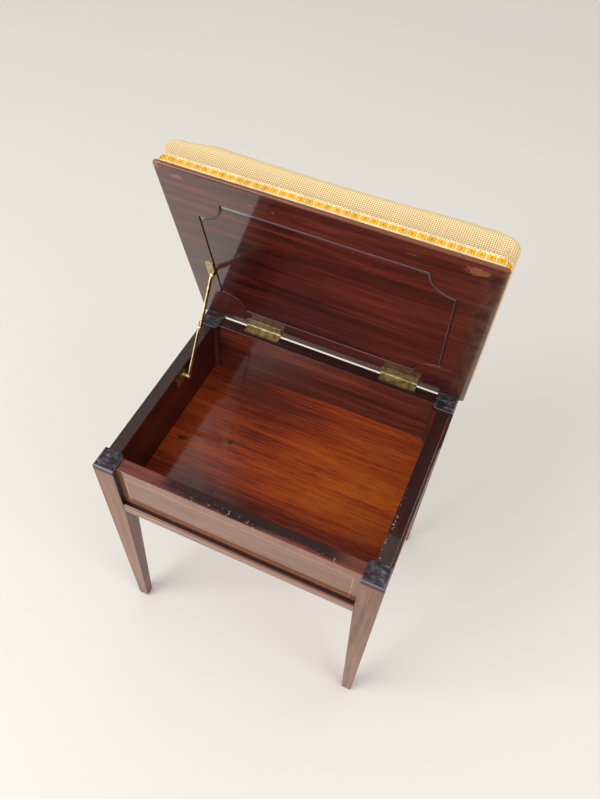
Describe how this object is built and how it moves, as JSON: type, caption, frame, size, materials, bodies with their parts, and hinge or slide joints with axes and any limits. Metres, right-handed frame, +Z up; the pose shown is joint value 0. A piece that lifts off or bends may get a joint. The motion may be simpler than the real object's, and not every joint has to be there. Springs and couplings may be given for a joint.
{
  "type": "piano stool",
  "caption": "Wooden piano stool with an upholstered lift-up lid on brass hinges over a shallow music well, held open by a folding stay, on square tapering legs.",
  "frame": {"origin": "on the floor, at the centre of the rectangle over the four legs", "axes": "+X along the front rail to the right, +Y from the front to the hinges, +Z up"},
  "size_m": [0.4852, 0.4109, 0.8601],
  "materials": {
    "polished_wood": "dark red-brown French polish, glossy, worn on the arrises",
    "floor_wood": "orange-brown polished boards with streaky figure",
    "line_wood": "pale inlaid line under polish",
    "hinge_brass": "aged, dull",
    "screw_brass": "aged",
    "stay_brass": "pale, rubbed",
    "canvas": "tan open weave",
    "horsehair": "matted hair",
    "braid": "golden gimp with cream loops",
    "tack_steel": "blued"
  },
  "bodies": {
    "frame": {"leg_front_left": "polished_wood", "leg_front_right": "polished_wood", "leg_back_left": "polished_wood", "leg_back_right": "polished_wood", "rail_front": "polished_wood", "rail_back": "polished_wood", "rail_left": "polished_wood", "rail_right": "polished_wood", "moulding_front": "polished_wood", "moulding_back": "polished_wood", "moulding_left": "polished_wood", "moulding_right": "polished_wood", "stringing_front": "line_wood", "floor_board_front": "floor_wood", "floor_board_back": "floor_wood", "hinge_rail_leaf_left": "hinge_brass", "hinge_rail_leaf_right": "hinge_brass", "hinge_pin_left": "hinge_brass", "hinge_pin_right": "hinge_brass", "hinge_rail_screws": "screw_brass", "stay_wall_bracket": "stay_brass", "stay_wall_screws": "screw_brass", "stay_wall_rivet": "stay_brass"},
    "lid": {"lid_board": "polished_wood", "seat_stuffing": "horsehair", "seat_cover": "canvas", "gimp_braid": "braid", "cover_tacks": "tack_steel", "hinge_lid_leaf_left": "hinge_brass", "hinge_lid_leaf_right": "hinge_brass", "hinge_lid_screws": "screw_brass", "stay_lid_bracket": "stay_brass", "stay_lid_screws": "screw_brass", "stay_lid_rivet": "stay_brass"},
    "stay_upper": {"stay_upper_arm": "stay_brass", "stay_elbow_rivet": "stay_brass"},
    "stay_lower": {"stay_lower_arm": "stay_brass", "stay_elbow_tail": "stay_brass"}
  },
  "joints": [
    {"name": "lid_hinge", "type": "hinge", "parent": "frame", "child": "lid", "pos_m": [0, 0.1782, 0.4934], "axis": [1, 0, 0], "range_deg": [0, 75.3]},
    {"name": "stay_lower_pivot", "type": "hinge", "parent": "frame", "child": "stay_lower", "pos_m": [-0.1961, 0.04309, 0.474], "axis": [1, 0, 0], "range_deg": [0, 123.6]},
    {"name": "stay_upper_pivot", "type": "hinge", "parent": "lid", "child": "stay_upper", "pos_m": [-0.194, 0.13865, 0.62405], "axis": [1, 0, 0], "range_deg": [-123.6, 0]}
  ],
  "couplings": [
    {"joint": "stay_lower_pivot", "follows": "lid_hinge", "ratio": 1.6337},
    {"joint": "stay_upper_pivot", "follows": "lid_hinge", "ratio": -1.6337}
  ]
}
